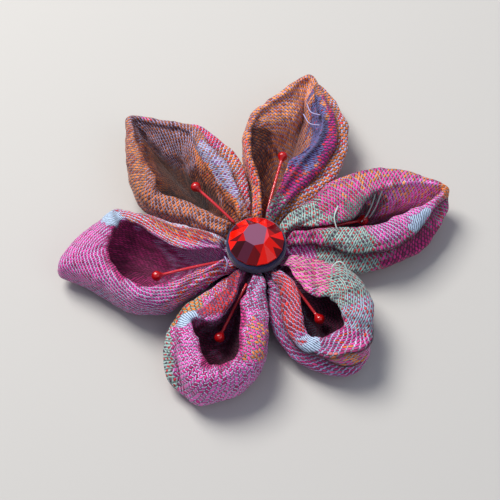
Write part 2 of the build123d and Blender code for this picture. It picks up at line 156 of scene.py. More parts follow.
# Woven areas: grain is the coloured float, thread the pale yarn around it, fleck the odd float of
# another colour, cover how far the pale yarn hides the floats, flecks the share of odd floats
swatchColumns = ("grain", "thread", "fleck", "cover", "flecks")
swatches = {
    "orangeRib": ((0.86, 0.5, 0.27), (0.56, 0.5, 0.62), (0.7, 0.35, 0.23), 0.05, 0.22),
    # the orange darkened as painted shade, for pocket floors and the lower inner wall
    "orangeShaded": ((0.72, 0.38, 0.18), (0.36, 0.27, 0.36), (0.54, 0.24, 0.14), 0.04, 0.2),
    "orangeRed": ((0.86, 0.26, 0.18), (0.66, 0.55, 0.66), (0.88, 0.5, 0.26), 0.05, 0.45),
    # the orange lightened as painted light, for a lit inner wall
    "orangeLit": ((0.97, 0.6, 0.34), (0.7, 0.6, 0.74), (0.84, 0.44, 0.26), 0.05, 0.2),
    "orangeNet": ((0.76, 0.42, 0.24), (0.62, 0.56, 0.64), (0.54, 0.28, 0.19), 0.1, 0.28),
    "orangeBlock": ((0.88, 0.46, 0.18), (0.74, 0.58, 0.56), (0.84, 0.32, 0.24), 0.04, 0.15),
    "orangeWhite": ((0.86, 0.46, 0.22), (0.74, 0.72, 0.84), (0.82, 0.22, 0.22), 0.18, 0.25),
    "orangeMint": ((0.86, 0.5, 0.22), (0.58, 0.68, 0.64), (0.82, 0.22, 0.22), 0.14, 0.25),
    # the orange darkened as painted shade, for a wall turned away from the light
    "orangeShadedSide": ((0.76, 0.45, 0.25), (0.5, 0.44, 0.5), (0.6, 0.3, 0.2), 0.05, 0.25),
    "lavenderGrid": ((0.6, 0.32, 0.2), (0.64, 0.58, 0.7), (0.44, 0.2, 0.16), 0.2, 0.3),
    "lavenderWhite": ((0.8, 0.42, 0.26), (0.74, 0.74, 0.88), (0.62, 0.3, 0.56), 0.42, 0.3),
    "lavenderBlue": ((0.36, 0.12, 0.28), (0.42, 0.42, 0.64), (0.74, 0.22, 0.3), 0.52, 0.25),
    # deep magenta floats, with the thread darkened as painted shade for the pockets
    "magentaDeep": ((0.74, 0.16, 0.46), (0.34, 0.14, 0.3), (0.6, 0.12, 0.36), 0.06, 0.3),
    "magentaPlum": ((0.7, 0.14, 0.46), (0.34, 0.26, 0.44), (0.8, 0.18, 0.24), 0.08, 0.25),
    "magentaPale": ((0.74, 0.24, 0.56), (0.72, 0.7, 0.82), (0.82, 0.36, 0.62), 0.12, 0.3),
    "magentaRib": ((0.8, 0.24, 0.58), (0.76, 0.68, 0.84), (0.7, 0.12, 0.42), 0.1, 0.2),
    "magentaMint": ((0.8, 0.22, 0.54), (0.54, 0.58, 0.6), (0.7, 0.14, 0.3), 0.1, 0.25),
    "paleMagenta": ((0.68, 0.14, 0.42), (0.68, 0.66, 0.8), (0.8, 0.32, 0.58), 0.24, 0.3),
    "paleBlue": ((0.56, 0.44, 0.6), (0.7, 0.78, 0.88), (0.74, 0.26, 0.34), 0.8, 0.15),
    "paleRed": ((0.84, 0.2, 0.2), (0.8, 0.82, 0.92), (0.88, 0.5, 0.28), 0.45, 0.25),
    "pinkPale": ((0.84, 0.34, 0.66), (0.78, 0.72, 0.86), (0.74, 0.16, 0.48), 0.07, 0.3),
    "pinkFleck": ((0.82, 0.24, 0.56), (0.78, 0.72, 0.84), (0.88, 0.26, 0.18), 0.15, 0.4),
    # the pink lightened as painted light, for an inner wall the lamp does not reach
    "pinkLit": ((0.97, 0.42, 0.76), (0.78, 0.72, 0.88), (0.98, 0.62, 0.4), 0.08, 0.3),
    "pinkOrange": ((0.84, 0.26, 0.56), (0.62, 0.6, 0.68), (0.9, 0.5, 0.28), 0.06, 0.4),
    "pinkGold": ((0.86, 0.36, 0.66), (0.74, 0.66, 0.58), (0.8, 0.26, 0.5), 0.05, 0.25),
    "plumLavender": ((0.68, 0.18, 0.44), (0.62, 0.58, 0.74), (0.82, 0.26, 0.5), 0.24, 0.25),
    "plumMint": ((0.66, 0.2, 0.42), (0.54, 0.6, 0.6), (0.82, 0.26, 0.26), 0.28, 0.25),
    "mintRed": ((0.7, 0.18, 0.22), (0.6, 0.7, 0.68), (0.4, 0.26, 0.34), 0.42, 0.35),
    "mintPink": ((0.72, 0.22, 0.42), (0.62, 0.68, 0.75), (0.78, 0.24, 0.28), 0.4, 0.35),
    # the mint darkened as painted shade, for a pocket
    "mintShade": ((0.56, 0.18, 0.32), (0.38, 0.46, 0.45), (0.66, 0.2, 0.42), 0.34, 0.3),
    # the red darkened as painted shade, for a side turned from the light
    "redShade": ((0.72, 0.15, 0.18), (0.52, 0.36, 0.5), (0.58, 0.14, 0.3), 0.06, 0.3),
    "redPink": ((0.86, 0.2, 0.3), (0.76, 0.64, 0.8), (0.8, 0.26, 0.58), 0.1, 0.35),
    "redWhite": ((0.84, 0.2, 0.22), (0.76, 0.74, 0.86), (0.84, 0.46, 0.3), 0.22, 0.3),
    "redNet": ((0.8, 0.2, 0.2), (0.7, 0.58, 0.7), (0.62, 0.16, 0.26), 0.06, 0.3),
    # dark brown painted shade for the pocket floors
    "pocketShade": ((0.5, 0.25, 0.13), (0.26, 0.18, 0.22), (0.36, 0.15, 0.12), 0.04, 0.3),
}

# How every petal is made: lengths in millimetres, counts for the mesh. A level is a place across the
# cloth, from the middle of the floor at 0 over the crest to the middle of the underside at 18.
petalMaking = {
    "cloth": 1.6,
    "lipThickness": 1.9,
    "around": 352,
    "across": 176,
    "overDisc": 3.3,
    "discRadius": 11.0,
    "discFade": (0.8, 7.5),  # how far past its edge the cloth comes down
    "overPin": 1.7,
    "pinFade": (0.5, 3.5),
    "tipFade": (0.8, 5.0),
    "pinHeading": 72,
    "pinHalfWidth": 4.9,
    "pinBend": 14.0,
    "pinTips": 36.0,
    "underSeat": 6.5,
    "seatRadius": 6.3,
    "seatSlope": 3.0,
    "levels": 18,
    "crestLevel": 7.5,
    "shadedTo": 9,  # painted depth shade darkens the dye colours up to this level
    "softFolds": (0.16, 5.0, 5, 12),  # height and length of the waves, and how far out they set in
    "crinkle": (0.05, 1.9, 7, 10),
    "gather": (0.28, 2.3, 7.0, 8.5),
    "gatherEnd": (10, 19),
    "gatherBend": (1.3, 9.0),
    "groove": 0.6,
    "grooveLevel": 11.0,
    "grooveWidth": 0.7,
    # painted shadow in the groove under the brim, and painted shade along valley folds
    "grooveShade": 0.88,
    "foldShade": 0.9,
    "patchWobble": (0.16, 3.0),
    "patchEdge": (0.82, 1.08),
}

# Depth shade is painted shade in the pockets: below the first height the dye colours are darkened to the last
# number, above the second not at all.
# Each fold: rim row and place across where it starts and ends, its width and height in millimetres.
# Each rim row: x, y, height, the way it faces, lip and belly inward, brim outward, drop of
# the brim, then the hem outward and its height. Each patch: rim row, place across, how far
# it spreads along and across, and the swatch.
rimColumns = ("x", "y", "up", "facing", "lip", "belly", "brim", "drop", "hem", "hemUp")

topPetal = {
    "node": "petal_top",
    "slot": "orange_cloth",
    "floor": ((1.6, 5.2), (4.2, 17.0), (9.6, 28.5)),
    "rim": (
        (1.1, 3.0, 5.6, 250, 0.4, 0.5, 0.6, 1.0, 0.8, 4.6),
        (0.6, 8.2, 8.6, 172, 0.6, 0.4, 1.1, 1.8, 1.3, 5.0),
        (0.3, 14.4, 10.0, 180, 0.8, 1.4, 1.0, 2.0, 1.0, 5.0),
        (-1.5, 20.2, 11.8, 180, 0.8, 1.8, 1.0, 2.5, 1.1, 5.0),
        (-1.7, 26.8, 12.0, 178, 0.8, 4.5, 1.0, 2.5, 1.1, 5.0),
        (0.5, 32.3, 11.5, 150, 0.8, 5.5, 1.1, 2.5, 1.0, 5.0),
        (6.2, 38.0, 10.4, 130, 0.8, 5.0, 1.1, 2.3, 1.0, 5.0),
        (11.8, 43.3, 9.0, 80, 0.7, 5.0, 1.3, 2.0, 1.2, 5.0),
        (14.3, 36.6, 10.5, 20, 0.6, 2.0, 1.0, 1.2, 3.6, 7.3),
        (15.8, 30.2, 11.5, 8, 1.5, 2.2, 1.7, 1.5, 4.3, 8.0),
        (14.5, 24.2, 11.3, 355, 2.6, 1.5, 2.8, 2.0, 5.3, 7.8),
        (10.5, 19.1, 10.5, 335, 3.3, 1.0, 3.3, 2.0, 6.3, 7.0),
        (6.4, 13.4, 9.3, 328, 2.0, 0.6, 2.2, 1.6, 4.6, 6.2),
        (3.4, 8.8, 8.8, 335, 0.9, 0.3, 1.2, 1.6, 2.3, 5.0),
    ),
    "weave": {"pitch": (0.66, 1.12), "turn": 8, "sway": 0.7, "slant": 0.06, "zigzag": 0.0, "relief": 0.27},
    "depthShade": (2.5, 6.0, 0.5),
    "folds": (
        (9.4, 5.0, 12.6, 5.4, 1.1, 0.7),
        (9.0, 6.6, 12.8, 6.6, 0.5, -0.7),
        (8.6, 8.2, 12.8, 8.2, 0.9, 0.3),
        (7.6, 6.4, 8.8, 4.2, 0.7, -0.8),
        (4.2, 5.4, 5.4, 3.2, 1.2, -0.4),
    ),
    "base": "orangeRib",
    "patches": [
        (6.2, 4.6, 2.0, 3.2, "orangeLit"),
        (2.4, 3.2, 2.2, 4.0, "orangeShaded"),
        (3.0, 3.6, 1.5, 2.4, "pocketShade"),
        (2.0, 8.5, 1.6, 1.6, "orangeRed"),
        (8.9, 4.4, 1.3, 2.8, "lavenderBlue"),
        (10.3, 6.6, 1.3, 2.4, "lavenderBlue"),
        (12.0, 7.2, 0.8, 2.6, "magentaPlum"),
        (9.3, 8.4, 1.5, 1.0, "magentaPlum"),
        (11.2, 9.4, 1.5, 0.9, "magentaPlum"),
        (13.1, 8.0, 0.8, 2.5, "plumMint"),
        (10.8, 13.2, 3.4, 1.7, "orangeWhite"),
        (9.0, 14.5, 1.0, 1.2, "orangeRed"),
    ],
}

upperLeftPetal = {
    "node": "petal_upper_left",
    "slot": "orange_cloth",
    "floor": ((-3.0, 4.8), (-11.0, 12.8), (-18.0, 21.0)),
    "rim": (
        (-2.0, 2.5, 5.6, 308, 0.4, 0.5, 0.6, 1.0, 0.8, 4.6),
        (-6.4, 5.0, 8.6, 225, 1.0, 0.5, 2.2, 2.0, 2.2, 5.0),
        (-14.0, 7.9, 9.5, 250, 2.0, 0.8, 2.0, 2.5, 1.9, 5.0),
        (-21.4, 10.6, 10.5, 238, 2.0, 0.8, 1.8, 3.0, 1.6, 5.0),
        (-24.2, 15.4, 11.0, 192, 3.0, 0.3, 2.6, 3.5, 2.2, 5.0),
        (-26.2, 22.5, 10.8, 182, 1.3, 2.5, 2.0, 3.0, 1.8, 5.0),
        (-27.4, 29.3, 9.6, 178, 0.8, 2.0, 1.1, 2.0, 1.0, 4.5),
        (-27.0, 32.4, 8.8, 128, 0.7, 3.5, 1.2, 2.0, 1.0, 4.5),
        (-20.2, 30.2, 10.0, 85, 0.8, 4.0, 1.1, 2.0, 1.1, 5.0),
        (-14.2, 27.8, 11.0, 60, 1.0, 4.5, 1.4, 2.0, 3.0, 8.0),
        (-11.0, 21.9, 11.5, 42, 1.8, 4.0, 2.2, 1.8, 5.4, 8.2),
        (-7.8, 17.8, 10.8, 27, 2.0, 3.0, 2.4, 2.0, 5.5, 7.5),
        (-5.6, 12.9, 9.6, 22, 1.6, 1.6, 1.9, 1.6, 4.5, 6.6),
        (-3.2, 8.4, 8.8, 20, 1.0, 0.5, 1.3, 1.6, 2.2, 5.2),
    ),
    "weave": {"pitch": (0.58, 0.92), "turn": -20, "sway": 0.7, "slant": 0.12, "zigzag": 0.0, "relief": 0.23},
    "depthShade": (2.2, 4.2, 0.25),
    "folds": (
        (7.0, 7.2, 7.2, 3.0, 0.5, -0.5),
        (5.4, 3.6, 3.4, 4.4, 0.8, 0.4),
        (6.0, 5.4, 5.2, 2.6, 0.5, -0.5),
        (9.4, 6.0, 12.6, 6.4, 0.6, -0.45),
        (2.0, 9.2, 5.0, 9.6, 0.7, -0.3),
    ),
    "base": "orangeNet",
    "patches": [
        (5.0, 1.5, 9.0, 3.0, "orangeShaded"),
        (3.0, 2.2, 1.7, 3.6, "pocketShade"),
        (10.6, 0.8, 1.8, 1.8, "pocketShade"),
        (4.8, 9.6, 1.8, 3.6, "orangeShadedSide"),
        (7.8, 4.8, 2.6, 3.6, "lavenderGrid"),
        (4.8, 5.0, 1.0, 1.8, "orangeShaded"),
        (11.2, 6.7, 1.9, 3.0, "lavenderWhite"),
        (10.7, 4.5, 1.1, 1.3, "orangeBlock"),
        (7.5, 7.0, 0.22, 0.5, "redPink"),
        (12.6, 5.6, 0.9, 1.6, "orangeBlock"),
        (9.2, 12.8, 1.0, 2.0, "redPink"),
        (10.8, 13.0, 0.9, 2.0, "orangeWhite"),
        (12.2, 13.0, 1.0, 2.0, "redWhite"),
    ],
}

leftPetal = {
    "node": "petal_left",
    "slot": "pink_cloth",
    "floor": ((-5.0, -1.6), (-15.0, -3.6), (-25.0, -2.6)),
    "rim": (
        (-3.2, -0.6, 5.6, 8, 0.4, 0.5, 0.6, 1.0, 0.8, 4.6),
        (-7.2, -4.0, 8.6, 250, 0.8, 0.4, 2.3, 1.8, 2.5, 5.0),
        (-12.0, -7.5, 9.5, 250, 1.5, 0.5, 2.9, 3.0, 2.9, 5.0),
        (-17.3, -11.4, 10.8, 250, 2.2, 0.0, 2.9, 3.5, 2.4, 4.5),
        (-23.4, -12.8, 11.0, 252, 1.8, 0.0, 1.8, 4.0, 1.2, 4.0),
        (-28.6, -8.8, 10.8, 204, 1.3, -0.5, 3.2, 5.8, 2.6, 2.5),
        (-30.8, -5.2, 11.0, 193, 1.2, -3.0, 6.4, 6.5, 5.6, 2.5),
        (-31.6, -2.4, 11.0, 189, 1.2, -6.0, 10.2, 7.0, 9.0, 2.5),
        (-31.4, 0.4, 11.0, 166, 1.2, -3.5, 6.9, 6.0, 6.0, 3.0),
        (-30.5, 3.2, 10.8, 140, 1.2, -1.2, 4.2, 4.5, 3.5, 3.0),
        (-28.5, 6.0, 10.3, 116, 1.2, 1.0, 2.6, 2.4, 2.2, 4.5),
        (-24.2, 5.5, 10.3, 98, 2.0, 1.2, 1.8, 1.8, 1.5, 5.0),
        (-17.5, 2.8, 10.2, 102, 4.3, 0.8, 2.7, 2.0, 2.4, 5.0),
        (-8.8, 1.0, 9.0, 105, 1.8, 0.5, 2.2, 1.8, 2.2, 5.0),
    ),
    "weave": {"pitch": (0.58, 0.92), "turn": 24, "sway": 0.7, "slant": 0.14, "zigzag": 0.0, "relief": 0.23},
    "depthShade": (2.0, 6.5, 0.7),
    "folds": (
        (11.0, 8.0, 13.5, 7.8, 0.5, -0.5),
        (11.0, 6.2, 13.4, 6.2, 0.8, 0.35),
        (0.9, 8.6, 3.4, 9.2, 0.6, -0.45),
        (1.0, 6.6, 3.0, 7.0, 0.7, 0.3),
        (9.9, 9.0, 9.2, 4.0, 0.6, -0.3),
    ),
    "base": "magentaPale",
    "patches": [
        (7.0, 3.0, 5.0, 4.6, "magentaDeep"),
        (7.2, 9.5, 2.4, 2.6, "magentaRib"),
        (4.4, 12.0, 2.2, 3.0, "paleMagenta"),
        (1.8, 8.5, 1.3, 4.0, "pinkFleck"),
        (9.7, 8.2, 0.7, 3.0, "paleBlue"),
        (11.4, 7.8, 1.5, 2.4, "redWhite"),
        (11.6, 9.6, 1.2, 0.9, "orangeWhite"),
        (12.7, 8.8, 1.0, 2.2, "paleRed"),
        (12.3, 7.4, 0.9, 0.8, "orangeRed"),
    ],
}

lowerLeftPetal = {
    "node": "petal_lower_left",
    "slot": "pink_cloth",
    "floor": ((-2.0, -6.2), (-4.6, -16.0), (-7.5, -24.0)),
    "rim": (
        (-1.0, -3.0, 5.6, 71, 0.4, 0.5, 0.6, 1.0, 0.8, 4.6),
        (-0.5, -7.8, 8.8, 350, 0.4, 0.4, 2.2, 2.0, 2.2, 5.0),
        (-0.8, -14.0, 9.8, 350, 2.2, 1.0, 3.0, 2.5, 2.8, 5.0),
        (-0.7, -20.7, 11.0, 0, 2.6, 1.0, 3.0, 3.0, 2.8, 5.0),
        (-1.6, -26.5, 11.0, 345, 2.2, 1.5, 2.8, 3.5, 2.6, 4.5),
        (-4.8, -29.2, 10.8, 322, 1.8, 0.8, 3.2, 4.5, 2.6, 3.0),
        (-8.0, -30.0, 10.8, 277, 1.5, -0.8, 3.5, 5.5, 2.8, 2.5),
        (-10.3, -29.2, 10.6, 239, 1.5, -1.8, 4.9, 6.6, 4.2, 2.2),
        (-12.0, -26.4, 11.0, 195, 1.4, -1.2, 4.0, 4.0, 6.4, 3.8),
        (-13.4, -22.5, 11.0, 184, 1.7, -0.2, 2.9, 3.0, 5.4, 5.0),
        (-13.6, -18.0, 10.3, 150, 0.8, 0.6, 1.7, 2.0, 3.8, 6.0),
        (-9.3, -16.5, 10.4, 120, 2.4, 0.6, 2.0, 1.8, 5.6, 7.0),
        (-5.2, -12.1, 9.2, 132, 1.1, 0.4, 1.7, 1.6, 4.9, 6.3),
        (-3.5, -7.6, 8.7, 160, 0.4, 0.3, 1.4, 1.6, 3.2, 5.0),
    ),
    "weave": {"pitch": (0.70, 0.95), "turn": -16, "sway": 0.6, "slant": 0.0, "zigzag": 0.5, "relief": 0.24},
    "depthShade": (4.0, 9.0, 0.25),
    "folds": (
        (11.6, 7.0, 13.6, 7.0, 0.8, 0.35),
        (11.2, 9.3, 13.5, 9.0, 0.5, -0.6),
        (0.8, 9.4, 3.2, 10.0, 0.5, -0.4),
        (8.6, 8.4, 10.0, 9.6, 0.6, -0.5),
    ),
    "base": "pinkPale",
    "patches": [
        (5.0, 3.0, 6.0, 4.2, "magentaDeep"),
        (3.4, 8.2, 1.0, 1.9, "pinkOrange"),
        (1.4, 9.0, 1.2, 4.0, "paleMagenta"),
        (10.0, 9.0, 0.6, 3.4, "paleBlue"),
        (11.9, 7.6, 1.4, 2.4, "redShade"),
        (11.9, 10.2, 1.4, 1.0, "pinkFleck"),
        (12.4, 12.5, 1.2, 1.6, "pinkFleck"),
        (10.4, 13.2, 0.9, 1.6, "orangeMint"),
        (8.6, 13.4, 1.1, 1.8, "mintRed"),
    ],
}

lowerRightPetal = {
    "node": "petal_lower_right",
    "slot": "pink_cloth",
    "floor": ((4.3, -4.8), (10.5, -13.0), (13.8, -18.0)),
    "rim": (
        (2.2, -2.4, 5.6, 131, 0.4, 0.5, 0.6, 1.0, 0.8, 4.6),
        (7.6, -4.2, 8.8, 60, 1.6, 0.5, 2.2, 1.8, 2.4, 5.0),
        (12.2, -7.6, 10.0, 73, 4.6, 1.2, 4.0, 2.5, 3.6, 5.0),
        (17.8, -9.8, 10.8, 50, 4.6, 1.2, 3.9, 3.0, 3.5, 5.0),
        (20.5, -15.4, 11.0, 5, 3.8, 1.0, 3.5, 3.0, 3.2, 5.0),
        (20.0, -19.7, 10.5, 345, 2.4, 1.2, 3.2, 3.2, 2.9, 4.5),
        (18.0, -22.0, 10.0, 330, 2.4, -0.8, 5.2, 4.0, 4.8, 3.5),
        (15.0, -22.8, 9.8, 319, 1.6, -1.5, 5.6, 3.6, 6.6, 3.5),
        (12.9, -23.5, 9.6, 280, 1.4, 0.2, 2.0, 2.0, 3.8, 4.0),
        (9.2, -21.8, 9.4, 222, 1.5, 0.2, 1.6, 1.9, 2.9, 4.0),
        (7.1, -17.1, 10.0, 183, 2.2, 0.6, 2.0, 2.0, 4.3, 6.0),
        (7.0, -13.2, 10.0, 183, 1.9, 0.6, 2.0, 2.0, 4.5, 6.3),
        (6.2, -9.6, 9.5, 190, 2.0, 0.4, 1.8, 1.7, 4.2, 6.0),
        (4.8, -7.0, 8.8, 200, 1.2, 0.3, 1.4, 1.6, 2.6, 5.0),
    ),
    "weave": {"pitch": (0.64, 1.0), "turn": 72, "sway": 0.7, "slant": 0.14, "zigzag": 0.0, "relief": 0.23},
    "depthShade": (4.0, 9.0, 0.2),
    "folds": (
        (10.0, 7.0, 13.4, 7.2, 0.9, 0.4),
        (9.6, 9.3, 13.4, 9.0, 0.5, -0.6),
        (4.6, 9.9, 8.4, 9.6, 0.6, -0.9),
        (4.6, 8.4, 8.2, 8.0, 0.9, 0.4),
        (3.6, 9.0, 3.2, 4.6, 0.6, -0.35),
        (4.8, 9.0, 4.5, 5.0, 0.6, -0.35),
        (1.4, 9.0, 2.4, 4.6, 0.6, -0.35),
    ),
    "base": "paleMagenta",
    "patches": [
        (5.0, 3.0, 5.0, 3.6, "magentaDeep"),
        (3.3, 7.4, 1.6, 4.8, "mintRed"),
        (1.1, 7.0, 1.5, 3.2, "pinkGold"),
        (4.6, 9.0, 1.0, 3.6, "mintPink"),
        (6.2, 8.6, 0.9, 2.4, "pinkFleck"),
        (7.0, 9.6, 1.1, 1.5, "pinkOrange"),
        (8.6, 8.0, 0.6, 2.2, "paleBlue"),
        (11.0, 7.6, 2.2, 3.0, "redNet"),
        (9.5, 13.4, 3.0, 2.2, "plumLavender"),
    ],
}

rightPetal = {
    "node": "petal_right",
    "slot": "mint_cloth",
    "floor": ((5.4, 3.4), (16.0, 5.4), (28.0, 9.3)),
    "rim": (
        (3.1, 1.1, 5.6, 199, 0.4, 0.5, 0.6, 1.0, 0.8, 4.6),
        (7.2, 5.5, 8.7, 125, 1.4, 0.6, 1.8, 1.8, 1.8, 5.0),
        (13.0, 8.1, 9.8, 125, 4.4, 0.8, 3.4, 2.5, 3.0, 5.0),
        (18.6, 10.9, 11.0, 112, 5.8, 1.2, 5.2, 3.0, 4.6, 5.0),
        (24.2, 14.2, 11.5, 95, 3.8, 2.5, 3.8, 3.0, 3.4, 5.0),
        (30.0, 15.4, 11.0, 88, 2.0, 4.0, 2.4, 2.2, 2.0, 5.0),
        (36.8, 15.1, 9.8, 70, 0.9, 1.5, 1.4, 2.0, 1.2, 5.0),
        (40.4, 13.7, 8.8, 10, 0.8, 2.2, 0.9, 2.0, 0.9, 5.5),
        (37.6, 10.0, 9.6, 325, 0.7, 1.2, 1.0, 1.2, 3.2, 5.5),
        (32.8, 5.3, 10.5, 312, 2.4, 1.5, 2.2, 2.0, 4.6, 5.0),
        (27.0, 1.2, 10.8, 293, 3.3, 0.8, 2.3, 3.0, 4.0, 5.0),
        (20.8, 0.2, 10.4, 273, 3.4, 0.6, 1.8, 2.4, 4.5, 4.8),
        (13.8, 1.7, 9.7, 270, 2.3, 0.4, 1.5, 1.6, 4.6, 5.4),
        (8.0, 2.0, 8.9, 270, 1.0, 0.3, 1.4, 1.6, 3.1, 5.0),
    ),
    "weave": {"pitch": (0.62, 0.95), "turn": -28, "sway": 0.7, "slant": 0.14, "zigzag": 0.0, "relief": 0.23},
    "depthShade": (2.0, 4.2, 0.3),
    "folds": (
        (8.6, 10.4, 12.4, 10.6, 0.5, -0.7),
        (12.9, 6.4, 13.5, 10.3, 0.5, -0.35),
        (12.2, 6.2, 12.8, 10.3, 0.5, -0.35),
        (11.5, 6.2, 12.1, 10.3, 0.5, -0.35),
        (1.4, 6.0, 5.2, 6.4, 0.9, 0.35),
        (1.8, 9.4, 5.6, 9.3, 0.6, -0.4),
        (7.2, 7.0, 7.4, 2.6, 0.5, -0.4),
    ),
    "base": "magentaMint",
    "patches": [
        (3.2, 3.2, 1.6, 3.8, "mintShade"),
        (6.6, 4.0, 2.3, 3.8, "pinkLit"),
        (1.1, 8.0, 1.0, 5.0, "mintRed"),
        (4.4, 9.0, 1.8, 2.2, "pinkOrange"),
        (7.0, 8.0, 0.6, 3.0, "orangeBlock"),
        (8.6, 6.4, 1.2, 2.4, "pinkPale"),
        (8.9, 8.6, 0.5, 1.6, "paleBlue"),
        (9.9, 7.0, 0.7, 1.6, "magentaPale"),
        (11.3, 8.0, 0.9, 2.6, "mintRed"),
        (12.9, 8.0, 0.8, 3.2, "magentaMint"),
        (12.9, 13.0, 0.9, 1.8, "magentaRib"),
        (11.3, 13.2, 1.1, 2.0, "mintRed"),
        (9.3, 13.2, 1.0, 2.2, "magentaDeep"),
    ],
}
petals = (topPetal, upperLeftPetal, leftPetal, lowerLeftPetal, lowerRightPetal, rightPetal)


def smoothStep(value, low, high):
    t = np.clip((value - low) / (high - low), 0, 1)
    return t * t * (3 - 2 * t)


# A smooth curve through points, between the second and the third of four
def curveBetween(a, b, c, d, t):
    return 0.5 * (2 * b + (c - a) * t + (2 * a - 5 * b + 4 * c - d) * t**2 + (3 * b - a - 3 * c + d) * t**3)


def rimStations(rim, count):
    table = np.array(rim, float)
    facing = np.radians(table[:, 3])
    table = np.column_stack([table, np.cos(facing), np.sin(facing)])
    place = np.arange(count) * len(rim) / count
    first = place.astype(int)
    t = (place - first)[:, None]
    found = curveBetween(*(table[(first + step) % len(rim)] for step in (-1, 0, 1, 2)), t)
    columns = dict(zip(rimColumns, found.T))
    length = np.hypot(found[:, -2], found[:, -1])
    columns["outX"], columns["outY"] = found[:, -2] / length, found[:, -1] / length
    return columns, place


def keelLine(floor, share):
    start, middle, end = 2 * (share - 0.5) * (share - 1), -4 * share * (share - 1), 2 * share * (share - 0.5)
    return (np.stack([start, middle, end], 1) @ np.array(floor, float)).T


# The lowest that the cloth may lie: on the backing disc, over the pin, or on the surface
def restHeight(x, y, making):
    pastDisc = np.hypot(x, y) - making["discRadius"]
    overDisc = making["overDisc"] * (1 - smoothStep(pastDisc, *making["discFade"]))
    heading = radians(making["pinHeading"])
    along = x * cos(heading) + y * sin(heading)
    beside = np.abs(y * cos(heading) - x * sin(heading))
    near = 1 - smoothStep(beside - making["pinHalfWidth"], *making["pinFade"])
    past = np.maximum(along - making["pinTips"], -making["pinBend"] - along)
    return np.maximum(overDisc, making["overPin"] * near * (1 - smoothStep(past, *making["tipFade"])))


# The cloth's section at each station: the floor, the inner wall and the lip, then the brim,
# the groove under it, the hem and the underside
def sectionPoints(row, keel, making):
    kx, ky = keel
    top = row["up"]
    rest = restHeight(kx, ky, making)
    lip, brim, hem, drop, low = row["lip"], row["brim"], row["hem"], row["drop"], row["hemUp"]
    second = np.maximum(0, hem - brim)
    doubled = np.minimum(1, second / 0.8)
    tuck = np.minimum(1.3, 0.2 + 0.6 * second)
    belly = -row["belly"]
    inside = rest + making["cloth"]
    depth = np.maximum(0.3, top - inside)
    edge = top - drop
    low = np.minimum(low, edge - 0.5 * (1 - doubled))
    underLip = lip * 0.55 + 0.5 * np.maximum(0, row["belly"] - lip)

    def atRim(out, z):
        return np.stack([row["x"] + row["outX"] * out, row["y"] + row["outY"] * out, z], 1)

    def between(out, t, z):
        rim = atRim(out, z)
        return np.stack([kx + (rim[:, 0] - kx) * t, ky + (rim[:, 1] - ky) * t, z], 1)

    inner = [
        between(belly, 0, inside),
        between(belly, 0.3, inside + 0.02 * depth),
        between(belly, 0.75, inside + 0.14 * depth),
        atRim(belly, inside + np.minimum(0.42 * (top - rest), 0.5 * depth)),
        atRim(-underLip, np.maximum(top - making["lipThickness"], inside + 0.65 * depth)),
        atRim(-lip, np.maximum(top - 1.2, inside + 0.78 * depth)),
        atRim(-lip * 0.95, np.maximum(top - 0.35, inside + 0.92 * depth)),
        atRim(-lip * 0.4, top + 0.05),
    ]
    outer = [
        atRim(brim * 0.4, top - 0.05 * drop),
        atRim(brim * 0.92, top - 0.42 * drop),
        atRim(brim, edge),
        atRim(brim - tuck * doubled, edge - (0.35 + 0.25 * tuck) * doubled),
        atRim(brim + second * 0.65 - 0.15 * doubled, low + np.minimum(0.9, 0.3 + 0.6 * second) * doubled),
        atRim(hem, low + 0.25),
        atRim(hem, low - 0.6),
        atRim(hem - 0.5, low - 0.45 * (low - rest)),
        between(hem - 1.0, 0.72, rest + 0.14 * (low - rest)),
        between(hem - 1.0, 0.3, rest),
        between(hem - 1.0, 0, rest),
    ]
    points = np.stack(inner + outer, 1)
    floor = restHeight(points[..., 0], points[..., 1], making)
    order = np.arange(points.shape[1])
    points[..., 2] = np.where(order < 4, np.maximum(points[..., 2], floor + making["cloth"]), points[..., 2])
    points[..., 2] = np.where(order > 12, np.maximum(points[..., 2], floor), points[..., 2])
    beyond = np.maximum(0, np.hypot(points[..., 0], points[..., 1]) - making["seatRadius"] - 0.5)
    points[..., 2] = np.minimum(points[..., 2], making["underSeat"] + making["seatSlope"] * beyond)
    return points


# Weights of a clamped quadratic spline over the section's control points
def splineWeights(count, steps):
    spans = count - 2
    weights = np.zeros((steps + 1, count))
    for step in range(steps + 1):
        place = spans * step / steps
        first = min(spans - 1, int(place))
        t = place - first
        weights[step, first + 1] += 2 * t * (1 - t)
        ends = ((first, (1 - t) ** 2, first == 0), (first + 2, t * t, first == spans - 1))
        for index, share, clamped in ends:
            weights[step, index] += share * (1 if clamped else 0.5)
            weights[step, first + 1] += 0 if clamped else share * 0.5
    return weights


def gridNormals(grid):
    along = np.roll(grid, -1, 0) - np.roll(grid, 1, 0)
    across = np.gradient(grid, axis=1)
    normal = np.cross(across, along)
    return normal / np.maximum(1e-9, np.linalg.norm(normal, axis=2, keepdims=True))


def softNoise(u, v, seed, wavelength, count=14):
    draw = np.random.default_rng(seed)
    total = np.zeros_like(u)
    for _ in range(count):
        angle, phase = draw.uniform(0, 2 * pi, 2)
        length = wavelength * draw.uniform(0.7, 1.8)
        total += np.sin(2 * pi * (u * cos(angle) + v * sin(angle)) / length + phase)
    return total / count**0.5


